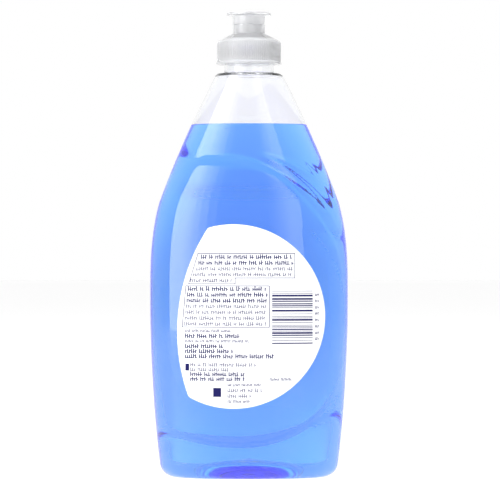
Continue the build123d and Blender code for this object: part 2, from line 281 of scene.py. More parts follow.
def form(z, t, inset=0.0, rounding=0.0):
    """A ring of points (x, y, z) of the blown form, inset from its outside."""
    z = np.full_like(t, z)
    x, y = plan(z, t, rounding)
    step = 1e-3
    x1, y1 = plan(z, t + step, rounding)
    nx, ny = (y1 - y), -(x1 - x)
    size = np.hypot(nx, ny)
    nx, ny = nx / size, ny / size
    proud = relief(x, z) * (rounding < HEEL * 0.5) * ease((np.abs(ny) - 0.3) / 0.45)
    proud = proud * ease((x + half_size(z, 0)) / LEFT_FADE)
    return np.stack([x + nx * (proud * SIDE_SHARE - inset), y + ny * (proud - inset), z], axis=1)


def columns(count):
    """Angles round the bottle, closer together on the side with the waves."""
    u = np.linspace(0, 2 * math.pi, count, endpoint=False)
    return u - 0.38 * np.sin(u)


def wall_heights(low, high, fine):
    """Heights up the wall, closer together where the swirl is detailed."""
    stops = [(low, 14, 4), (14, 36, 26), (36, 112, 40), (112, 164, 92), (164, high, 16)]
    runs = [np.linspace(a, b, max(3, int(n * fine)), endpoint=False) for a, b, n in stops]
    return np.concatenate(runs + [[high - 0.25, high]])


print("relief at the label", round(float(relief(np.array([0.0]), np.array([80.0]))[0]), 2), "mm")

# %% [markdown]
# ## The bottle
# One closed skin goes all the way round the plastic: out over the push-up and the standing ring, up
# the wall, round the threaded neck, over the rim, and back down the inside. The inside follows the
# outside at the thickness of the wall, as a blown bottle does, so light bends through it as through
# the real thing.

# %% Rings of the outside
AROUND = 268


def ellipse_ring(t, a, b, z):
    """A flat ring on an ellipse."""
    return np.stack([a * np.cos(t), b * np.sin(t), np.full_like(t, z)], axis=1)


def dome_rings(t, grow, steps):
    """Rings over the push-up, from its crown out to its edge."""
    a, b, c = (v + grow for v in PUSH_UP)
    rings = []
    for share in np.linspace(0.02, 1, steps) ** 0.9:
        beta = math.pi / 2 * (1 - share)
        reach = math.cos(beta)
        peak = GATE_RISE * max(0.0, 1 - reach * a / GATE_R)
        rings.append(ellipse_ring(t, a * reach, b * reach, c * math.sin(beta) + peak))
    return rings


def outline_rings(t, inset, low, heel, high, fine):
    """Rings of the blown form from the outer edge of its floor to the top of the shoulder."""
    rings = []
    for share in np.linspace(0, 1, 11)[:-1]:
        turn = math.pi / 2 * share
        z = low + heel * (1 - math.cos(turn))
        rings.append(form(z, t, inset, heel * (1 - math.sin(turn))))
    rings += [form(z, t, inset) for z in wall_heights(low + heel, high, fine)]
    return rings


def between(first, last, steps):
    """Rings on the straight way between two rings, without its ends."""
    return [first + (last - first) * s for s in np.linspace(0, 1, steps + 2)[1:-1]]


def turned(t, corners):
    """Rings of a turned profile, from its (radius, height) corners."""
    return [ellipse_ring(t, r, r, z) for r, z in corners]


def arc(centre, radius, start, stop, steps):
    """(radius, height) corners round an arc, angles in degrees from the outward direction."""
    turn = np.radians(np.linspace(start, stop, steps))
    return [(centre[0] + radius * math.cos(a), centre[1] + radius * math.sin(a)) for a in turn]


# %% [markdown]
# The neck's thread is a ridge that climbs one pitch a turn. On a fine grid of rings it needs no
# separate piece: each point of the neck moves out by the height that the ridge has at its angle and
# height, and the ridge runs out over a few degrees at both ends, as a mould cutter leaves it.

# %% Thread and neck
def ridge(z, angle, start_z, start_angle, turns, root, crest):
    """Height of a thread, 0 to 1, at height z and an angle, for a ridge of so many turns."""
    first = ((angle - start_angle) / (2 * math.pi)) % 1.0
    height = np.zeros_like(angle)
    for lap in range(-1, int(turns) + 2):
        way = first + lap
        gap = np.abs(z - start_z - THREAD_PITCH * way)
        flank = np.clip((root / 2 - gap) / (root / 2 - crest / 2), 0, 1)
        ends = np.clip(way / 0.05, 0, 1) * np.clip((turns - way) / 0.05, 0, 1)
        height = np.maximum(height, flank * ends)
    return height


def neck_rings(t):
    """The threaded outside of the neck, from its foot to the rim."""
    corners = arc((NECK_R + 0.9, SHOULDER_Z + 0.9), 0.9, 270, 180, 5)
    corners += [(NECK_R, z) for z in np.linspace(SHOULDER_Z + 2.5, THREAD_Z - 1.2, 5)]
    rings = turned(t, corners)
    for z in np.linspace(THREAD_Z - 1.0, NECK_TOP - 0.45, 44):
        r = NECK_R + THREAD_DEPTH * ridge(z, t, THREAD_Z, THREAD_ANGLE, THREAD_TURNS, 1.9, 0.9)
        rings.append(np.stack([r * np.cos(t), r * np.sin(t), np.full_like(t, z)], axis=1))
    rings += turned(t, arc((NECK_R - 0.3, NECK_TOP - 0.3), 0.3, 0, 90, 4))
    return rings


# %% [markdown]
# The outside has twice as many columns as the inside, so the rim is where two columns become one. A
# sharp corner needs a ring close to it on both sides, or smooth shading bends the light there.

# %% Close the shell
def blown_shell():
    """The bottle's closed skin, fine outside and half as fine inside."""
    t = columns(AROUND)
    outer = dome_rings(t, 0.0, 20)
    wall = outline_rings(t, 0.0, 0.0, HEEL, SHOULDER_Z - SHOULDER_EDGE, 1.0)
    outer += between(outer[-1], wall[0], 3) + wall
    edge = arc((SHOULDER_R - SHOULDER_EDGE, SHOULDER_Z - SHOULDER_EDGE), SHOULDER_EDGE, 12, 90, 6)
    outer += turned(t, edge) + neck_rings(t)

    ti = columns(AROUND)[::2]
    inner = turned(ti, arc((BORE_R + 0.3, NECK_TOP - 0.3), 0.3, 90, 180, 4))
    inner += turned(ti, [(BORE_R, z) for z in np.linspace(NECK_TOP - 2, SHOULDER_Z + 1, 6)])
    inner += turned(ti, arc((BORE_R + 1.2, SHOULDER_Z + 0.5), 1.2, 180, 270, 6))
    low = outline_rings(ti, WALL, FLOOR, HEEL - FLOOR, SHOULDER_Z - 2 * WALL, 0.62)
    inner += between(inner[-1], low[-1], 9) + low[::-1]
    dome = dome_rings(ti, FLOOR, 14)
    inner += between(low[0], dome[-1], 2) + dome[::-1]

    points, faces = stack(outer)
    more, inside = stack(inner)
    base, rim = len(points), (len(outer) - 1) * AROUND
    faces += (np.array(inside) + base).tolist()
    half = len(ti)
    for i in range(half):
        a, b, c = rim + 2 * i, rim + 2 * i + 1, rim + (2 * i + 2) % AROUND
        d, e = base + i, base + (i + 1) % half
        faces += [[a, b, d], [b, e, d], [b, c, e]]
    points = np.concatenate([points, more, [[0, 0, PUSH_UP[2] + GATE_RISE]],
                             [[0, 0, PUSH_UP[2] + FLOOR + GATE_RISE]]])
    under, above = len(points) - 2, len(points) - 1
    last = base + (len(inner) - 1) * half
    faces += [[under, (i + 1) % AROUND, i] for i in range(AROUND)]
    faces += [[above, last + i, last + (i + 1) % half] for i in range(half)]
    return build("bottle_shell", points, faces)


bottle = blown_shell()
print("bottle shell", sum(len(p.vertices) - 2 for p in bottle.data.polygons), "triangles")

# %% [markdown]
# ## The liquid
# The contents fill the inside up to a level on the shoulder. A renderer has no rule for two clear
# solids that only touch, so the liquid's skin is set a few hundredths into the wall: light then
# leaves the plastic and enters the liquid with no air between them. A small meniscus climbs the wall
# at the top.

# %% Fill the bottle
WET = 0.06


def contents():
    """The liquid as one closed solid with a level top."""
    t = columns(AROUND)[::2]
    inset = WALL - WET
    dome = dome_rings(t, FLOOR - WET, 14)
    wall = outline_rings(t, inset, FLOOR - WET, HEEL - FLOOR, SHOULDER_Z - 2 * WALL, 0.62)
    wall = [ring for ring in wall if ring[0, 2] < FILL - 3.0]
    wall += [form(FILL - drop, t, inset) for drop in (2.5, 1.2, 0.5, 0.1)]
    rings = dome + between(dome[-1], wall[0], 2) + wall
    rings += [form(FILL + 0.35, t, inset)]
    for depth, z in ((0.25, 0.18), (0.6, 0.06), (1.2, 0.0), (4.0, 0.0), (12.0, 0.0)):
        rings.append(form(FILL + z, t, inset + depth))
    return closed_stack("soap_liquid", rings, [0, 0, PUSH_UP[2] + FLOOR + GATE_RISE - WET], [0, 0, FILL])


liquid = contents()
print("liquid top at", round(max(v.co.z for v in liquid.data.vertices) / MM, 1), "mm")

# %% [markdown]
# ## Clear materials
# Blown PET is glossy, with a very slight wave left by the mould. It is faintly grey all through,
# which only shows at the outline, where a line of sight runs a long way inside the wall. The liquid
# is coloured all through, so its colour belongs in its volume: the further light goes through it, the
# deeper the blue.

# %% Shader helpers
def new_material(name, **values):
    """A material with one principled shader whose plain values are set on its own sockets."""
    material = bpy.data.materials.new(name)
    material.use_nodes = True
    shader = material.node_tree.nodes["Principled BSDF"]
    for key, value in values.items():
        shader.inputs[key.replace("_", " ")].default_value = value
    return material, material.node_tree, shader


def bump(tree, shader, height, strength, distance):
    """Joins a height to the shader's normal."""
    node = tree.nodes.new("ShaderNodeBump")
    node.inputs["Strength"].default_value = strength
    node.inputs["Distance"].default_value = distance
    tree.links.new(height, node.inputs["Height"])
    tree.links.new(node.outputs["Normal"], shader.inputs["Normal"])
    return node


def noise(tree, scale, detail=2.0, stretch=(1, 1, 1)):
    """Noise on the piece's own coordinates."""
    where = tree.nodes.new("ShaderNodeTexCoord")
    place = tree.nodes.new("ShaderNodeMapping")
    place.inputs["Scale"].default_value = stretch
    cloud = tree.nodes.new("ShaderNodeTexNoise")
    cloud.inputs["Scale"].default_value = scale
    cloud.inputs["Detail"].default_value = detail
    tree.links.new(where.outputs["Object"], place.inputs["Vector"])
    tree.links.new(place.outputs["Vector"], cloud.inputs["Vector"])
    return cloud.outputs["Fac"]


def paint(obj, material):
    """Gives a piece its one material."""
    obj.data.materials.clear()
    obj.data.materials.append(material)


# %% [markdown]
# Both are clear, so what matters is the index of each, and what the light loses on its way through.

# %% Blown PET and the blue liquid
def blown_pet():
    material, tree, shader = new_material(
        "blown_pet", Base_Color=(0.985, 0.99, 1.0, 1), Roughness=0.015, IOR=1.5, Transmission_Weight=1.0)
    bump(tree, shader, noise(tree, 28, 1.0, (1, 1, 0.5)), 0.05, 0.0015)
    body = tree.nodes.new("ShaderNodeVolumeAbsorption")
    body.inputs["Color"].default_value = (0.3, 0.32, 0.36, 1)
    body.inputs["Density"].default_value = 30.0
    tree.links.new(body.outputs["Volume"], tree.nodes["Material Output"].inputs["Volume"])
    return material


def blue_liquid():
    material, tree, shader = new_material(
        "blue_liquid", Base_Color=(1, 1, 1, 1), Roughness=0.0, IOR=1.36, Transmission_Weight=1.0)
    colour = tree.nodes.new("ShaderNodeVolumeAbsorption")
    colour.inputs["Color"].default_value = (0.0, 0.58, 1.0, 1)
    colour.inputs["Density"].default_value = 58.0
    tree.links.new(colour.outputs["Volume"], tree.nodes["Material Output"].inputs["Volume"])
    return material


paint(bottle, blown_pet())
paint(liquid, blue_liquid())

# %% [markdown]
# ## The labels
# Each label is a thin film on the panel: most of a disc, with its left side cut to a long curve. A
# film follows what it is stuck to, so its points are found on the blown form itself, and lifted by
# the glue's thickness. Rows run across the outline and crowd together at its top and bottom, where
# the outline turns.

# %% Film labels
LABEL_GLUE = 0.03
LABEL_THICK = 0.12
back_low, back_high = span("back_label")
front_low, front_high = span("front_label")
LABEL_R = (back_high[2] - back_low[2]) / 2
LABEL_X = back_high[0] - LABEL_R
LABEL_Z = (back_high[2] + back_low[2]) / 2
LABEL_REACH = LABEL_X - back_low[0]
TOP_CORNER = -0.274
FOOT_CORNER = -0.487
FRONT_SHARE = (front_high[2] - front_low[2]) / (2 * LABEL_R)


def circle_through(a, b, c):
    """Centre and radius of the circle through three points."""
    (ax, az), (bx, bz), (cx, cz) = a, b, c
    d = 2 * (ax * (bz - cz) + bx * (cz - az) + cx * (az - bz))
    pa, pb, pc = ax * ax + az * az, bx * bx + bz * bz, cx * cx + cz * cz
    ux = (pa * (bz - cz) + pb * (cz - az) + pc * (az - bz)) / d
    uz = (pa * (cx - bx) + pb * (ax - cx) + pc * (bx - ax)) / d
    return ux, uz, math.hypot(ax - ux, az - uz)


def label_edges(v):
    """Left and right edge of the label at height v, both in label radii from the disc's centre."""
    right = math.sqrt(max(0.0, 1 - v * v))
    top = (TOP_CORNER, math.sqrt(1 - TOP_CORNER ** 2))
    foot = (FOOT_CORNER, -math.sqrt(1 - FOOT_CORNER ** 2))
    ux, uz, r = circle_through(top, (-LABEL_REACH / LABEL_R, 0.0), foot)
    left = ux - math.sqrt(r * r - (v - uz) ** 2) if foot[1] < v < top[1] else -right
    return left, right


def face_depth(x, z):
    """How far the back or front surface lies from the middle plane, at places (x, z) of one height z."""
    t = np.linspace(0.02, math.pi - 0.02, 900)
    ring = form(float(z), t)
    return np.interp(x, ring[::-1, 0], ring[::-1, 1])


def film(name, side, share, rows=90, across=70):
    """A label film as a closed sheet. side is -1 on the back and +1 on the front."""
    under, over = [], []
    for v in np.sin(np.linspace(-math.pi / 2, math.pi / 2, rows)) * 0.9999:
        left, right = label_edges(v)
        x = (LABEL_X + LABEL_R * np.linspace(left, right, across)) * share
        z = LABEL_Z + LABEL_R * share * v
        depth = face_depth(x, z)
        for rows_of, lift in ((under, LABEL_GLUE), (over, LABEL_GLUE + LABEL_THICK)):
            rows_of.append(np.stack([x, side * (depth + lift), np.full_like(x, z)], axis=1))
    points = np.concatenate(under + over)
    faces = []
    back = rows * across

    def at(i, j):
        return i * across + j

    for i in range(rows - 1):
        for j in range(across - 1):
            quad = [at(i, j), at(i, j + 1), at(i + 1, j + 1), at(i + 1, j)]
            faces.append([back + k for k in quad])
            faces.append(quad[::-1])
    rim = [at(0, j) for j in range(across)] + [at(i, across - 1) for i in range(1, rows)]
    rim += [at(rows - 1, j) for j in range(across - 2, -1, -1)] + [at(i, 0) for i in range(rows - 2, 0, -1)]
    for a, b in zip(rim, rim[1:] + rim[:1]):
        faces.append([a, b, back + b, back + a])
    if side > 0:
        faces = [f[::-1] for f in faces]
    return build(name, points, faces)


back_label = film("label_back", -1, 1.0)
front_label = film("label_front", 1, FRONT_SHARE)
print("label disc radius", round(LABEL_R, 2), "mm, front label share", round(FRONT_SHARE, 3))

# %% [markdown]
# Label film is satin: white ink printed on the back of a clear film, so it is smooth, with a soft
# shine and only the faintest grain.

# %% Film
def label_film():
    material, tree, shader = new_material(
        "label_film", Base_Color=(0.93, 0.935, 0.95, 1), Roughness=0.32, IOR=1.46, Coat_Weight=0.15)
    bump(tree, shader, noise(tree, 900, 3.0), 0.06, 0.0002)
    return material


film_finish = label_film()
paint(back_label, film_finish)
paint(front_label, film_finish)

# %% [markdown]
# ## The closure
# A screw cap and a pull top are turned shapes, so each is a profile of radius against height, swept
# right round. The profiles start inside and end inside, which closes the skin with no caps to add.

# %% Turned pieces
CAP_R = 16.0
CAP_BORE = 14.2
CAP_EDGE_Z = CAP_RIM + 11.7
CONE_TOP = CAP_EDGE_Z + 3.7
COLLAR_R = 8.0
COLLAR_TOP = CONE_TOP + 4.3
COLLAR_BORE = 6.95
LIP_BORE = 6.6
SPOUT_R = 5.6
SPOUT_BORE = 4.4
SPOUT_TOP = COLLAR_TOP + 2.6
POST_R = 1.6
DECK_TOP = LINER_TOP + 1.0
TURNS = 192
RIM_BEAD = 0.3
LIP_HEIGHT = 0.8
LINER_OUTER = 12.7
LINER_BORE = 9.4
BEAD_R = 6.83
SLEEVE_R = 6.45
BARREL_R = 8.15
FLANGE_R = 11.0
FLANGE_THICK = 1.2
CHAMBER_RISE = 1.7
THREAD_RISE = 1.5
RIB_COUNT = 96
RIB_WIDTH = 0.6


def lathe(name, corners, around=TURNS):
    """A closed turned piece from a loop of (radius, height) corners, anticlockwise as seen with +Z up."""
    t = np.linspace(0, 2 * math.pi, around, endpoint=False)
    return closed_stack(name, turned(t, corners))


def softened(corners, radius=0.25, steps=3):
    """The same loop with each corner rounded, so that edges catch the light."""
    soft = []
    count = len(corners)
    for i in range(count):
        before, here, after = (np.array(corners[(i + k) % count], float) for k in (-1, 0, 1))
        into, out = before - here, after - here
        reach = min(radius, 0.45 * np.linalg.norm(into), 0.45 * np.linalg.norm(out))
        a = here + into / np.linalg.norm(into) * reach
        b = here + out / np.linalg.norm(out) * reach
        for s in np.linspace(0, 1, steps + 1):
            soft.append(tuple((1 - s) ** 2 * a + 2 * s * (1 - s) * here + s ** 2 * b))
    return soft


def cap_body():
    """The screw cap with its collar, slot, spout and bore."""
    corners = [(CAP_BORE, CAP_RIM), (CAP_R + RIM_BEAD, CAP_RIM), (CAP_R + RIM_BEAD, CAP_RIM + 1.0),
               (CAP_R - 0.3, CAP_RIM + 1.3), (CAP_R - 0.3, CAP_EDGE_Z - 0.6), (CAP_R - 0.6, CAP_EDGE_Z),
               (COLLAR_R, CONE_TOP), (COLLAR_R, COLLAR_TOP), (LIP_BORE, COLLAR_TOP),
               (LIP_BORE, COLLAR_TOP - LIP_HEIGHT), (COLLAR_BORE, COLLAR_TOP - LIP_HEIGHT),
               (COLLAR_BORE, DECK_TOP), (SPOUT_R, DECK_TOP), (SPOUT_R, SPOUT_TOP),
               (SPOUT_BORE, SPOUT_TOP), (SPOUT_BORE, LINER_TOP), (LINER_OUTER, LINER_TOP),
               (CAP_BORE, CAP_EDGE_Z - 0.7)]
    return lathe("cap_body", softened(corners))


def pull_top_body():
    """The pull top: sleeve, stop bead, barrel, flange and orifice."""
    bore, orifice, shoulder = SPOUT_R + 0.06, POST_R + 0.05, COLLAR_TOP + 0.1
    flange, chamber = TOTAL - FLANGE_THICK, SPOUT_TOP + CHAMBER_RISE
    corners = [(bore, TOP_FOOT), (BEAD_R, TOP_FOOT), (BEAD_R, TOP_FOOT + 0.8), (SLEEVE_R, TOP_FOOT + 0.8),
               (SLEEVE_R, shoulder), (BARREL_R, shoulder), (BARREL_R, flange - 0.8),
               (BARREL_R + 0.25, flange - 0.25), (BARREL_R + 0.8, flange), (FLANGE_R, flange),
               (FLANGE_R, TOTAL), (orifice, TOTAL), (orifice, chamber), (bore, chamber)]
    return lathe("pull_top_body", softened(corners, 0.35, 4))


def cap_thread():
    """The cap's own thread, a ridge inside its bore, half a pitch under the neck's."""
    t = np.linspace(0, 2 * math.pi, TURNS, endpoint=False)
    start, rings = THREAD_Z - THREAD_PITCH / 2, []
    heights = np.linspace(start - 1.0, start + THREAD_PITCH + 1.0, 30)
    for z in heights:
        depth = THREAD_RISE * ridge(z, t, start, THREAD_ANGLE, 1.0, 1.3, 0.7)
        r = CAP_BORE + 0.02 - depth
        rings.append(np.stack([r * np.cos(t), r * np.sin(t), np.full_like(t, z)], axis=1))
    back = turned(t, [(CAP_BORE + 0.3, heights[0]), (CAP_BORE + 0.3, heights[-1])])
    return closed_stack("cap_thread", [back[0], back[1]] + rings[::-1])


cap = cap_body()
inner_thread = cap_thread()
pull_top = pull_top_body()
liner = lathe("cap_liner", softened([(LINER_BORE, NECK_TOP), (NECK_R, NECK_TOP), (NECK_R, LINER_TOP),
                                     (LINER_BORE, LINER_TOP)], 0.12))
print("cap", len(cap.data.polygons), "faces, pull top", len(pull_top.data.polygons), "faces")


# %% [markdown]
# A small post stands in the middle of the spout and plugs the orifice until the top is pulled. Three
# webs carry it, and the soap flows between them.

# %% Sealing post on its webs
def sealing_post():
    """The post that plugs the orifice, and the three webs that carry it."""
    t = np.linspace(0, 2 * math.pi, 48, endpoint=False)
    foot = SPOUT_TOP - 1.7
    post = turned(t, [(POST_R, foot), (POST_R, POST_TOP - 0.3), (POST_R - 0.3, POST_TOP)])
    points, faces = stack(post)
    count = len(t)
    points = np.vstack([points, [[0, 0, foot]], [[0, 0, POST_TOP]]])
    faces += [[len(points) - 2, (i + 1) % count, i] for i in range(count)]
    faces += [[len(points) - 1, 2 * count + i, 2 * count + (i + 1) % count] for i in range(count)]
    reach = (SPOUT_BORE + SPOUT_R) / 2
    for k in range(3):
        a = 2 * math.pi * k / 3
        way, across = np.array([math.cos(a), math.sin(a)]), np.array([-math.sin(a), math.cos(a)])
        base = len(points)
        box = [np.append(way * r + across * w, z) for z in (foot, SPOUT_TOP - 0.02) for r, w in
               ((POST_R - 0.2, -0.5), (reach, -0.5), (reach, 0.5), (POST_R - 0.2, 0.5))]
        points = np.vstack([points, box])
        faces += [[base + i for i in f] for f in ([3, 2, 1, 0], [4, 5, 6, 7], [0, 1, 5, 4],
                                                  [1, 2, 6, 5], [2, 3, 7, 6], [3, 0, 4, 7])]
    return build("cap_post", points, faces, smooth=False)


post = sealing_post()

# %% [markdown]
# ## Grip ribs
# The skirt has fine upright ribs all round for wet fingers. They repeat exactly, so a Geometry Nodes
# tree makes them: one slim rib is set at each point of a circle, and the copies are then made real.
# The tree's inputs are the number of ribs and their sizes.

# %% Node helpers
def feed(tree, socket, value):
    """Sets a socket to a plain number, or links another node's output to it."""
    if isinstance(value, (int, float)):
        socket.default_value = value
    else:
        tree.links.new(value, socket)


def maths(tree, kind, a, b):
    """A sum, difference or product of two values."""
    node = tree.nodes.new("ShaderNodeMath")
    node.operation = kind
    feed(tree, node.inputs[0], a)
    feed(tree, node.inputs[1], b)
    return node.outputs[0]


def triple(tree, x, y, z):
    """Three values as one vector."""
    node = tree.nodes.new("ShaderNodeCombineXYZ")
    for socket, value in zip(node.inputs, (x, y, z)):
        feed(tree, socket, value)
    return node.outputs["Vector"]


def new_tree(name, sockets, takes_geometry=False):
    """An empty tree with named inputs, with its input and output nodes."""
    tree = bpy.data.node_groups.new(name, "GeometryNodeTree")
    face = tree.interface
    if takes_geometry:
        face.new_socket("Geometry", in_out="INPUT", socket_type="NodeSocketGeometry")
    for label, kind in sockets.items():
        face.new_socket(label, in_out="INPUT", socket_type="NodeSocket" + kind)
    face.new_socket("Geometry", in_out="OUTPUT", socket_type="NodeSocketGeometry")
    return tree, tree.nodes.new("NodeGroupInput").outputs, tree.nodes.new("NodeGroupOutput").inputs


def finished(tree, geometry, material, result):
    """Gives the geometry its material and sends it to the tree's output."""
    finish = tree.nodes.new("GeometryNodeSetMaterial")
    finish.inputs["Material"].default_value = material
    tree.links.new(geometry, finish.inputs["Geometry"])
    tree.links.new(finish.outputs["Geometry"], result["Geometry"])


# %% [markdown]
# The rib tree sets one upright eight-sided bar at each corner of a circle. Only the outer half of a
# bar shows, so its radius is both the rib's half width and how far it stands proud of the skirt.

# %% A tree that repeats a rib round a circle
RIB_SIDES = 8


def rib_tree(material):
    tree, given, result = new_tree("grip_ribs", {"Count": "Int", "Radius": "Float", "Low": "Float",
                                                 "High": "Float", "Rib Width": "Float"})
    nodes, links = tree.nodes, tree.links
    circle = nodes.new("GeometryNodeMeshCircle")
    links.new(given["Count"], circle.inputs["Vertices"])
    links.new(given["Radius"], circle.inputs["Radius"])
    rise = maths(tree, "SUBTRACT", given["High"], given["Low"])
    rib = nodes.new("GeometryNodeMeshCylinder")
    rib.inputs["Vertices"].default_value = RIB_SIDES
    links.new(rise, rib.inputs["Depth"])
    links.new(maths(tree, "MULTIPLY", given["Rib Width"], 0.5), rib.inputs["Radius"])
    middle = maths(tree, "ADD", maths(tree, "MULTIPLY", rise, 0.5), given["Low"])
    place = nodes.new("GeometryNodeSetPosition")
    links.new(circle.outputs["Mesh"], place.inputs["Geometry"])
    links.new(triple(tree, 0.0, 0.0, middle), place.inputs["Offset"])
    copies = nodes.new("GeometryNodeInstanceOnPoints")
    links.new(place.outputs["Geometry"], copies.inputs["Points"])
    links.new(rib.outputs["Mesh"], copies.inputs["Instance"])
    real = nodes.new("GeometryNodeRealizeInstances")
    links.new(copies.outputs["Instances"], real.inputs["Geometry"])
    finished(tree, real.outputs["Geometry"], material, result)
    return tree


def grown(name, tree, material, source=None, **values):
    """A plain mesh from a tree's result, at the origin, with the tree's named inputs set."""
    holder = bpy.data.objects.new(name + "_tree", source or bpy.data.meshes.new(name + "_tree"))
    scene.collection.objects.link(holder)
    growth = holder.modifiers.new("growth", "NODES")
    growth.node_group = tree
    for socket in tree.interface.items_tree:
        if socket.in_out == "INPUT" and socket.name in values:
            growth[socket.identifier] = values[socket.name]
    evaluated = holder.evaluated_get(bpy.context.evaluated_depsgraph_get())
    mesh = bpy.data.meshes.new_from_object(evaluated)
    holder.modifiers.remove(growth)
    bpy.data.objects.remove(holder)
    mesh.name = name
    obj = bpy.data.objects.new(name, mesh)
    scene.collection.objects.link(obj)
    paint(obj, material)
    return obj


# %% [markdown]
# The moulded parts are a translucent white that lets about two thirds of the light in. The liner is
# matt foam.

# %% Cap plastics
def cap_plastic():
    """Translucent white polypropylene: it glows softly and shows the thread inside as a shade."""
    material, tree, shader = new_material(
        "cap_plastic", Base_Color=(0.93, 0.935, 0.95, 1), Roughness=0.16, IOR=1.49,
        Transmission_Weight=0.68)
    bump(tree, shader, noise(tree, 700, 2.0), 0.05, 0.0002)
    return material


def foam():
    material, tree, shader = new_material("liner_foam", Base_Color=(0.9, 0.9, 0.88, 1), Roughness=0.8)
    bump(tree, shader, noise(tree, 1500, 3.0), 0.3, 0.0002)
    return material


cap_finish = cap_plastic()
for piece in (cap, inner_thread, post, pull_top):
    paint(piece, cap_finish)
paint(liner, foam())
ribs = grown("cap_ribs", rib_tree(cap_finish), cap_finish, **{
    "Count": RIB_COUNT, "Radius": (CAP_R - 0.38) * MM, "Low": (CAP_RIM + 1.35) * MM,
    "High": (CAP_EDGE_Z - 0.9) * MM, "Rib Width": RIB_WIDTH * MM})
print("ribs", len(ribs.data.polygons), "faces")

# %% [markdown]
# ## The print
# The back label is printed in navy: two outlined boxes of small text, more rows under them and a
# block of stripes. Text this small reads as texture, so each row is only a run of short strokes in
# word-sized groups. They aren't letters. A tree lays one stroke at each point, and a ray from the
# point to the film gives its depth, so the ink follows the curve of the label.

# %% A tree that lays strokes of ink on the film
FAR = 0.2


def stored(tree, label):
    """A number that each point carries."""
    node = tree.nodes.new("GeometryNodeInputNamedAttribute")
    node.data_type = "FLOAT"
    node.inputs["Name"].default_value = label
    return node.outputs["Attribute"]


def chance(tree, low, high, seed):
    """A random number for each point."""
    node = tree.nodes.new("FunctionNodeRandomValue")
    node.data_type = "FLOAT"
    ends = [i for i in node.inputs if i.type == "VALUE" and i.name in ("Min", "Max")]
    for socket, value in zip(ends, (low, high)):
        feed(tree, socket, value)
    tree.links.new(seed, node.inputs["Seed"])
    return next(o for o in node.outputs if o.type == "VALUE")


def wrapped(tree, geometry, film, lift):
    """Moves flat geometry back along Y until it lies on the film, raised by lift."""
    nodes, links = tree.nodes, tree.links
    target = nodes.new("GeometryNodeObjectInfo")
    target.transform_space = "RELATIVE"
    links.new(film, target.inputs["Object"])
    place = nodes.new("GeometryNodeInputPosition")
    parts = nodes.new("ShaderNodeSeparateXYZ")
    links.new(place.outputs["Position"], parts.inputs["Vector"])
    x, y, z = (parts.outputs[axis] for axis in "XYZ")
    ray = nodes.new("GeometryNodeRaycast")
    links.new(target.outputs["Geometry"], ray.inputs["Target Geometry"])
    links.new(triple(tree, x, -FAR, z), ray.inputs["Source Position"])
    ray.inputs["Ray Direction"].default_value = (0.0, 1.0, 0.0)
    ray.inputs["Ray Length"].default_value = 2 * FAR
    struck = nodes.new("ShaderNodeSeparateXYZ")
    links.new(ray.outputs["Hit Position"], struck.inputs["Vector"])
    depth = maths(tree, "SUBTRACT", maths(tree, "ADD", struck.outputs["Y"], y), lift)
    wrap = nodes.new("GeometryNodeSetPosition")
    links.new(geometry, wrap.inputs["Geometry"])
    links.new(ray.outputs["Is Hit"], wrap.inputs["Selection"])
    links.new(triple(tree, x, depth, z), wrap.inputs["Position"])
    return wrap.outputs["Geometry"]


def mark_tree(material):
    tree, given, result = new_tree("print_marks", {
        "Film": "Object", "Seed": "Int", "Cuts": "Int", "Shortest": "Float", "Tallest": "Float",
        "Shift": "Float", "Ink": "Float", "Lift": "Float"}, takes_geometry=True)
    nodes, links = tree.nodes, tree.links
    tall = maths(tree, "MULTIPLY", stored(tree, "tall"),
                 chance(tree, given["Shortest"], given["Tallest"], given["Seed"]))
    other_seed = maths(tree, "ADD", given["Seed"], 1)
    rise = maths(tree, "MULTIPLY", chance(tree, 0.0, 1.0, other_seed), given["Shift"])
    middle = maths(tree, "ADD", maths(tree, "MULTIPLY", tall, 0.5), rise)
    lift = nodes.new("GeometryNodeSetPosition")
    links.new(given["Geometry"], lift.inputs["Geometry"])
    links.new(triple(tree, 0.0, 0.0, middle), lift.inputs["Offset"])
    stroke = nodes.new("GeometryNodeMeshCube")
    stroke.inputs["Size"].default_value = (1.0, 1.0, 1.0)
    links.new(given["Cuts"], stroke.inputs["Vertices X"])
    copies = nodes.new("GeometryNodeInstanceOnPoints")
    links.new(lift.outputs["Geometry"], copies.inputs["Points"])
    links.new(stroke.outputs["Mesh"], copies.inputs["Instance"])
    links.new(triple(tree, stored(tree, "wide"), given["Ink"], tall), copies.inputs["Scale"])
    real = nodes.new("GeometryNodeRealizeInstances")
    links.new(copies.outputs["Instances"], real.inputs["Geometry"])
    laid = wrapped(tree, real.outputs["Geometry"], given["Film"], given["Lift"])
    finished(tree, laid, material, result)
    return tree


def ink_points(name, strokes):
    """A mesh of points (x, z) in millimetres, each storing the width and the height of its stroke."""
    mesh = bpy.data.meshes.new(name)
    rows = np.array(strokes, float) * MM
    mesh.from_pydata([(x, 0.0, z) for x, z, _, _ in rows], [], [])
    for label, column in (("wide", 2), ("tall", 3)):
        mesh.attributes.new(label, "FLOAT", "POINT").data.foreach_set("value", rows[:, column])
    return mesh


# %% [markdown]
# Each block of text is given by its top row, its spacing, and the left and right end and weight of
# each row. A seeded generator cuts the rows into words, so the result is the same each time.

# %% Rows of text
SMALL, PLAIN, BOLD = (1.1, 0.3), (1.45, 0.34), (1.6, 0.52)


def slanted(left_top, left_foot, rights, first_bold):
    """Rows whose left ends run straight down a slanted edge. The first rows are bold."""
    lefts = np.linspace(left_top, left_foot, len(rights))
    return [(a, b, BOLD if i < first_bold else PLAIN) for i, (a, b) in enumerate(zip(lefts, rights))]


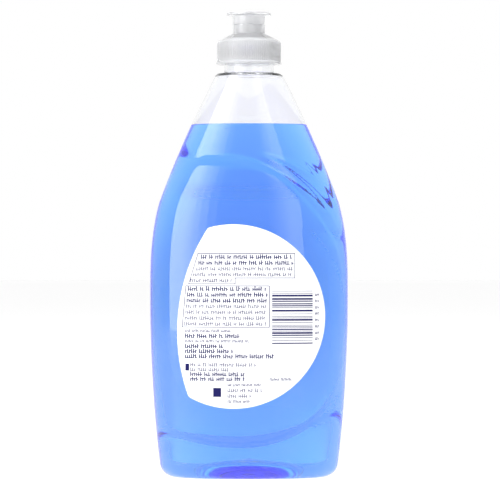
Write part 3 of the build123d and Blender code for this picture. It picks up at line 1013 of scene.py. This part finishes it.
TEXT = [
    (109.6, 2.9, slanted(-23.2, -28.6, [21.2, 21.2, 21.2, 21.2, -8.0], 2)),
    (93.9, 2.86, slanted(-29.8, -31.6, [8.8] * 7, 3)),
    (73.3, 2.5, [(-31.2, -8.8, SMALL), (-31.2, -5.4, BOLD), (-31.2, -0.5, SMALL), (-31.2, -13.2, BOLD),
                 (-31.2, -8.3, BOLD), (-31.2, 12.3, BOLD)]),
    (56.7, 2.35, [(-28.6, 3.4, PLAIN), (-28.6, -10.3, PLAIN), (-28.6, -1.9, BOLD), (-28.6, -1.9, BOLD)]),
    (46.8, 2.7, [(-10.3, 5.9, SMALL), (-10.3, 5.9, PLAIN), (-10.3, 0.5, PLAIN), (-10.3, 0.5, SMALL)]),
    (49.6, 2.5, [(10.3, 20.6, SMALL)]),
    (91.0, 3.1, [(32.6, 34.0, SMALL)] * 8),
]


def text_strokes():
    """Upright strokes and short bars for every row, cut into words."""
    random = np.random.default_rng(11)
    stems, bars = [], []
    for top, pitch, rows in TEXT:
        for i, (left, right, (size, weight)) in enumerate(rows):
            base, x, letters = top - i * pitch - size * 0.6, left, random.integers(3, 8)
            while x < right:
                if letters == 0:
                    letters = random.integers(2, 9)
                else:
                    stems.append((x, base, weight, size))
                    bars.append((x + size * 0.26, base, size * random.uniform(0.35, 0.6), weight * 0.7))
                    letters -= 1
                x += size * 0.62
    return stems, bars


# %% [markdown]
# Straight lines, plain blocks and stripes use the same tree with more cuts, so that a long stroke
# bends with the label. Random heights are turned off for them.

# %% Lines and blocks of ink
INK = 0.02
INK_LIFT = 0.012


def stripe_strokes(left, right, low, high):
    """Stripes of random thickness from low to high, all of one length."""
    random = np.random.default_rng(5)
    stripes, z = [], low
    while z < high - 0.6:
        thick = random.choice([0.3, 0.3, 0.6, 0.9])
        stripes.append(((left + right) / 2, z, right - left, thick))
        z += thick + random.choice([0.35, 0.35, 0.7, 1.0])
    return stripes


def outline_strokes(corners, weight=0.34):
    """The straight sides of an outlined box, as strokes: long ones across, short steps on a slant."""
    strokes = []
    for (x0, z0), (x1, z1) in zip(corners, corners[1:] + corners[:1]):
        if abs(x1 - x0) > abs(z1 - z0):
            strokes.append(((x0 + x1) / 2, z0 - weight / 2, abs(x1 - x0) + weight, weight))
        else:
            steps = max(1, int(abs(z1 - z0) / 0.8))
            rise = abs(z1 - z0) / steps
            for k in range(steps):
                share = (k + 0.5) / steps
                strokes.append((x0 + (x1 - x0) * share, min(z0, z1) + rise * k, weight, rise))
    return strokes


BOX_ONE = [(-25.0, 111.3), (22.5, 111.3), (22.5, 99.3), (-6.8, 99.3), (-6.8, 96.4), (-29.6, 96.4)]
BOX_TWO = [(-31.0, 95.4), (10.0, 95.4), (10.0, 75.2), (-32.8, 75.2)]
BLOCKS = [(-30.3, 53.8, 1.9, 3.4), (-15.6, 41.0, 3.9, 4.4)]


def navy_ink():
    material, tree, shader = new_material(
        "navy_ink", Base_Color=(0.008, 0.007, 0.09, 1), Roughness=0.5, Specular_IOR_Level=0.15)
    bump(tree, shader, noise(tree, 1200, 2.0), 0.05, 0.0001)
    return material


ink = navy_ink()
marks = mark_tree(ink)
stems, bars = text_strokes()
lines = outline_strokes(BOX_ONE) + outline_strokes(BOX_TWO) + BLOCKS
stripes = stripe_strokes(11.3, 31.3, 67.0, 93.9)
common = {"Film": back_label, "Ink": INK * MM, "Lift": INK_LIFT * MM}
prints = [
    grown("print_stems", marks, ink, ink_points("stems", stems), **common,
          **{"Seed": 3, "Cuts": 2, "Shortest": 0.95, "Tallest": 1.4, "Shift": 0.0}),
    grown("print_bars", marks, ink, ink_points("bars", bars), **common,
          **{"Seed": 7, "Cuts": 2, "Shortest": 0.9, "Tallest": 1.1, "Shift": 1.3 * MM}),
    grown("print_lines", marks, ink, ink_points("lines", lines), **common,
          **{"Seed": 1, "Cuts": 40, "Shortest": 1.0, "Tallest": 1.0, "Shift": 0.0}),
    grown("print_stripes", marks, ink, ink_points("stripes", stripes), **common,
          **{"Seed": 1, "Cuts": 30, "Shortest": 1.0, "Tallest": 1.0, "Shift": 0.0}),
]
print("print", [(o.name, len(o.data.polygons)) for o in prints])

# %% [markdown]
# ## Studio
# The room is a plain white one. A tall softbox on the left gives the bright band down the bottle, a
# weaker one on the right gives its echo, and a lamp overhead whitens the pale floor, a sheet of white
# acrylic. The bottle and its liquid cast no shadow, because a renderer can't send light through clear
# walls to the floor cleanly. Light crosses a dozen surfaces on its way through the bottle, so the
# bounce limits are raised.

# %% Camera, light and floor
EYE = Vector((0.0005, -1.4, 0.113))
LENS = 201.6


def studio_camera():
    data = bpy.data.cameras.new("studio_camera")
    data.lens, data.sensor_width = LENS, 36.0
    camera = bpy.data.objects.new("studio_camera", data)
    scene.collection.objects.link(camera)
    camera.location = EYE
    camera.rotation_euler = (math.radians(90), 0, 0)
    scene.camera = camera


def softbox(name, azimuth, elevation, distance, width, height, radiance):
    """An area light that faces the bottle. radiance is its brightness as seen in a mirror."""
    data = bpy.data.lights.new(name, "AREA")
    data.shape, data.size, data.size_y = "RECTANGLE", width, height
    data.energy = radiance * math.pi * width * height
    lamp = bpy.data.objects.new(name, data)
    a, e = math.radians(azimuth), math.radians(elevation)
    way = Vector((math.sin(a) * math.cos(e), -math.cos(a) * math.cos(e), math.sin(e)))
    lamp.location = Vector((0, 0, 0.11)) + way * distance
    lamp.rotation_euler = way.to_track_quat("Z", "Y").to_euler()
    scene.collection.objects.link(lamp)


def feathered(name, outer, inner, radiance, strips=8, plain=0.45):
    """A tall softbox in upright strips, plain on its outer part and fading to nothing at its inner edge."""
    step = (inner - outer) / strips
    for k in range(strips):
        share = (k + 0.5) / strips
        fade = min(1.0, (1 - share) / (1 - plain))
        softbox(name + "_" + str(k), outer + step * (k + 0.5), 10, 1.5, 1.5 * abs(math.radians(step)), 1.5,
                radiance * fade)


def white_room():
    world = bpy.data.worlds.new("white_room")
    world.use_nodes = True
    world.node_tree.nodes["Background"].inputs["Color"].default_value = (1.0, 1.0, 1.0, 1)
    world.node_tree.nodes["Background"].inputs["Strength"].default_value = 1.0
    scene.world = world


def pale_floor():
    mesh = bpy.data.meshes.new("floor")
    mesh.from_pydata([(-9, -9, 0), (9, -9, 0), (9, 9, 0), (-9, 9, 0)], [], [[0, 1, 2, 3]])
    floor = bpy.data.objects.new("floor", mesh)
    scene.collection.objects.link(floor)
    material, _, _ = new_material("floor_acrylic", Base_Color=(0.97, 0.97, 0.97, 1), Roughness=0.5)
    paint(floor, material)


studio_camera()
white_room()
pale_floor()
feathered("left_softbox", -74, -16, 2.6)
feathered("right_softbox", 34, 8, 1.0)
softbox("floor_light", 180, 80, 1.8, 2.0, 1.6, 2.0)
scene.view_settings.view_transform = "Standard"
scene.cycles.max_bounces = 32
scene.cycles.transmission_bounces = 28
scene.cycles.glossy_bounces = 12
for clear in (bottle, liquid):
    clear.visible_shadow = False
    clear.visible_diffuse = False

# %% [markdown]
# ## Bodies
# Each visible piece says which body it rides on, which piece of the engineering model it stands for,
# and the name of a material slot. Each piece is hung on its body, and the pieces of the engineering
# model that it stands for are hidden.

# %% Pieces and bodies
RIDES = [
    (bottle, "bottle", ["bottle"], "pet_clear"),
    (liquid, "bottle", ["liquid"], "soap_blue"),
    (back_label, "bottle", ["back_label"], "label_film"),
    (front_label, "bottle", ["front_label"], "label_film"),
    (cap, "closure", ["closure_base"], "closure_white"),
    (inner_thread, "closure", ["closure_base"], "closure_white"),
    (post, "closure", ["closure_base"], "closure_white"),
    (ribs, "closure", ["closure_base"], "closure_white"),
    (liner, "liner", ["closure_liner"], "liner_foam"),
    (pull_top, "pull_top", ["pull_top"], "closure_white"),
]
RIDES += [(piece, "bottle", ["back_label"], "label_film") for piece in prints]
for piece, body, nodes, finish in RIDES:
    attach(piece, body)
    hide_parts(*nodes)
print(len(RIDES), "pieces")
